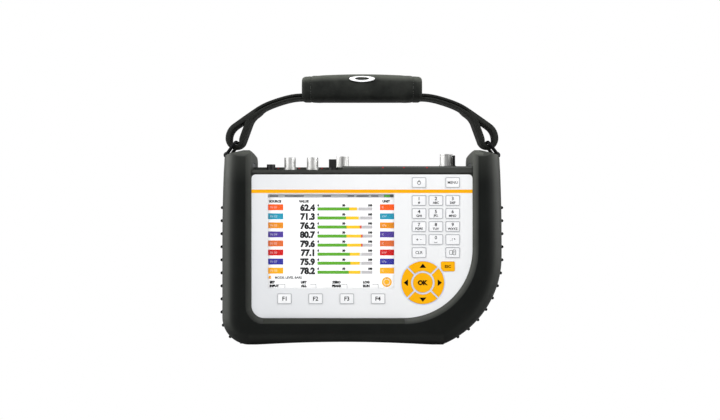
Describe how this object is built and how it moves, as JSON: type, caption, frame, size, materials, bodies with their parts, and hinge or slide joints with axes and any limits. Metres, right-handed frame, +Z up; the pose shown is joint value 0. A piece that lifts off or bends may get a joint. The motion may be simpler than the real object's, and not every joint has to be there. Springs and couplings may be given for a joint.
{
  "type": "hand-held data-logging test instrument",
  "caption": "Hand-held measuring instrument with colour display, keypad and round sensor sockets, in a rubber boot with a webbing carry strap and padded grip.",
  "frame": {"origin": "middle of the bounding box on the ground", "axes": "+X to the right seen from the display, +Y from the display to the back, +Z up"},
  "size_m": [0.2616, 0.073, 0.2503],
  "materials": {
    "rubber": "matt moulded",
    "housing": "fine texture",
    "seal": "matt",
    "overlay": "satin film",
    "window": "clear",
    "metal_case": "bright",
    "board": "varnished",
    "battery_wrap": "shrink film",
    "socket_metal": "satin nickel",
    "black_plastic": "matt",
    "steel": "bright",
    "lug_metal": "dark",
    "white_key": "satin",
    "amber_key": "satin",
    "webbing": "woven",
    "grip_fabric": "coated cloth"
  },
  "bodies": {
    "instrument": {"rubber_boot": "rubber", "front_housing": "housing", "rear_housing": "housing", "housing_seal": "seal", "keypad_overlay": "overlay", "display_window": "window", "display_gasket": "seal", "lcd_module": "metal_case", "keypad_board": "board", "main_board": "board", "connector_board": "board", "battery_pack": "battery_wrap", "top_panel": "housing", "sensor_socket_1": "socket_metal", "sensor_socket_2": "socket_metal", "service_jack": "black_plastic", "power_jack": "black_plastic", "bus_socket_left": "socket_metal", "bus_socket_right": "socket_metal", "charge_jack": "black_plastic", "socket_nuts": "socket_metal", "housing_screws": "steel", "board_screws": "steel", "shoulder_block_left": "housing", "shoulder_block_right": "housing", "strap_stud_left": "steel", "strap_stud_right": "steel"},
    "carry_handle": {"strap_lug_left": "lug_metal", "strap_lug_right": "lug_metal", "strap_ring_left": "steel", "strap_ring_right": "steel", "strap_webbing": "webbing", "hand_grip": "grip_fabric"},
    "key_f1_cap": {"key_f1": "white_key"},
    "key_f2_cap": {"key_f2": "white_key"},
    "key_f3_cap": {"key_f3": "white_key"},
    "key_f4_cap": {"key_f4": "white_key"},
    "key_power_cap": {"key_power": "white_key"},
    "key_menu_cap": {"key_menu": "white_key"},
    "key_1_cap": {"key_1": "white_key"},
    "key_2_cap": {"key_2": "white_key"},
    "key_3_cap": {"key_3": "white_key"},
    "key_4_cap": {"key_4": "white_key"},
    "key_5_cap": {"key_5": "white_key"},
    "key_6_cap": {"key_6": "white_key"},
    "key_7_cap": {"key_7": "white_key"},
    "key_8_cap": {"key_8": "white_key"},
    "key_9_cap": {"key_9": "white_key"},
    "key_sign_cap": {"key_sign": "white_key"},
    "key_0_cap": {"key_0": "white_key"},
    "key_point_cap": {"key_point": "white_key"},
    "key_clear_cap": {"key_clear": "white_key"},
    "key_note_cap": {"key_note": "white_key"},
    "key_escape_cap": {"key_escape": "amber_key"},
    "key_up_cap": {"key_up": "amber_key"},
    "key_down_cap": {"key_down": "amber_key"},
    "key_left_cap": {"key_left": "amber_key"},
    "key_right_cap": {"key_right": "amber_key"},
    "key_ok_cap": {"key_ok": "amber_key"}
  },
  "joints": [
    {"name": "handle_swing", "type": "hinge", "parent": "instrument", "child": "carry_handle", "pos_m": [0, 0, 0.1653], "axis": [1, 0, 0], "range_deg": [-30, 30]},
    {"name": "press_f1", "type": "slide", "parent": "instrument", "child": "key_f1_cap", "axis": [0, 1, 0], "range_m": [0, 0.0005], "stiffness_N_per_m": 800},
    {"name": "press_f2", "type": "slide", "parent": "instrument", "child": "key_f2_cap", "axis": [0, 1, 0], "range_m": [0, 0.0005], "stiffness_N_per_m": 800},
    {"name": "press_f3", "type": "slide", "parent": "instrument", "child": "key_f3_cap", "axis": [0, 1, 0], "range_m": [0, 0.0005], "stiffness_N_per_m": 800},
    {"name": "press_f4", "type": "slide", "parent": "instrument", "child": "key_f4_cap", "axis": [0, 1, 0], "range_m": [0, 0.0005], "stiffness_N_per_m": 800},
    {"name": "press_power", "type": "slide", "parent": "instrument", "child": "key_power_cap", "axis": [0, 1, 0], "range_m": [0, 0.0005], "stiffness_N_per_m": 800},
    {"name": "press_menu", "type": "slide", "parent": "instrument", "child": "key_menu_cap", "axis": [0, 1, 0], "range_m": [0, 0.0005], "stiffness_N_per_m": 800},
    {"name": "press_1", "type": "slide", "parent": "instrument", "child": "key_1_cap", "axis": [0, 1, 0], "range_m": [0, 0.0005], "stiffness_N_per_m": 800},
    {"name": "press_2", "type": "slide", "parent": "instrument", "child": "key_2_cap", "axis": [0, 1, 0], "range_m": [0, 0.0005], "stiffness_N_per_m": 800},
    {"name": "press_3", "type": "slide", "parent": "instrument", "child": "key_3_cap", "axis": [0, 1, 0], "range_m": [0, 0.0005], "stiffness_N_per_m": 800},
    {"name": "press_4", "type": "slide", "parent": "instrument", "child": "key_4_cap", "axis": [0, 1, 0], "range_m": [0, 0.0005], "stiffness_N_per_m": 800},
    {"name": "press_5", "type": "slide", "parent": "instrument", "child": "key_5_cap", "axis": [0, 1, 0], "range_m": [0, 0.0005], "stiffness_N_per_m": 800},
    {"name": "press_6", "type": "slide", "parent": "instrument", "child": "key_6_cap", "axis": [0, 1, 0], "range_m": [0, 0.0005], "stiffness_N_per_m": 800},
    {"name": "press_7", "type": "slide", "parent": "instrument", "child": "key_7_cap", "axis": [0, 1, 0], "range_m": [0, 0.0005], "stiffness_N_per_m": 800},
    {"name": "press_8", "type": "slide", "parent": "instrument", "child": "key_8_cap", "axis": [0, 1, 0], "range_m": [0, 0.0005], "stiffness_N_per_m": 800},
    {"name": "press_9", "type": "slide", "parent": "instrument", "child": "key_9_cap", "axis": [0, 1, 0], "range_m": [0, 0.0005], "stiffness_N_per_m": 800},
    {"name": "press_sign", "type": "slide", "parent": "instrument", "child": "key_sign_cap", "axis": [0, 1, 0], "range_m": [0, 0.0005], "stiffness_N_per_m": 800},
    {"name": "press_0", "type": "slide", "parent": "instrument", "child": "key_0_cap", "axis": [0, 1, 0], "range_m": [0, 0.0005], "stiffness_N_per_m": 800},
    {"name": "press_point", "type": "slide", "parent": "instrument", "child": "key_point_cap", "axis": [0, 1, 0], "range_m": [0, 0.0005], "stiffness_N_per_m": 800},
    {"name": "press_clear", "type": "slide", "parent": "instrument", "child": "key_clear_cap", "axis": [0, 1, 0], "range_m": [0, 0.0005], "stiffness_N_per_m": 800},
    {"name": "press_note", "type": "slide", "parent": "instrument", "child": "key_note_cap", "axis": [0, 1, 0], "range_m": [0, 0.0005], "stiffness_N_per_m": 800},
    {"name": "press_escape", "type": "slide", "parent": "instrument", "child": "key_escape_cap", "axis": [0, 1, 0], "range_m": [0, 0.0005], "stiffness_N_per_m": 800},
    {"name": "press_up", "type": "slide", "parent": "instrument", "child": "key_up_cap", "axis": [0, 1, 0], "range_m": [0, 0.0005], "stiffness_N_per_m": 800},
    {"name": "press_down", "type": "slide", "parent": "instrument", "child": "key_down_cap", "axis": [0, 1, 0], "range_m": [0, 0.0005], "stiffness_N_per_m": 800},
    {"name": "press_left", "type": "slide", "parent": "instrument", "child": "key_left_cap", "axis": [0, 1, 0], "range_m": [0, 0.0005], "stiffness_N_per_m": 800},
    {"name": "press_right", "type": "slide", "parent": "instrument", "child": "key_right_cap", "axis": [0, 1, 0], "range_m": [0, 0.0005], "stiffness_N_per_m": 800},
    {"name": "press_ok", "type": "slide", "parent": "instrument", "child": "key_ok_cap", "axis": [0, 1, 0], "range_m": [0, 0.0005], "stiffness_N_per_m": 800}
  ]
}
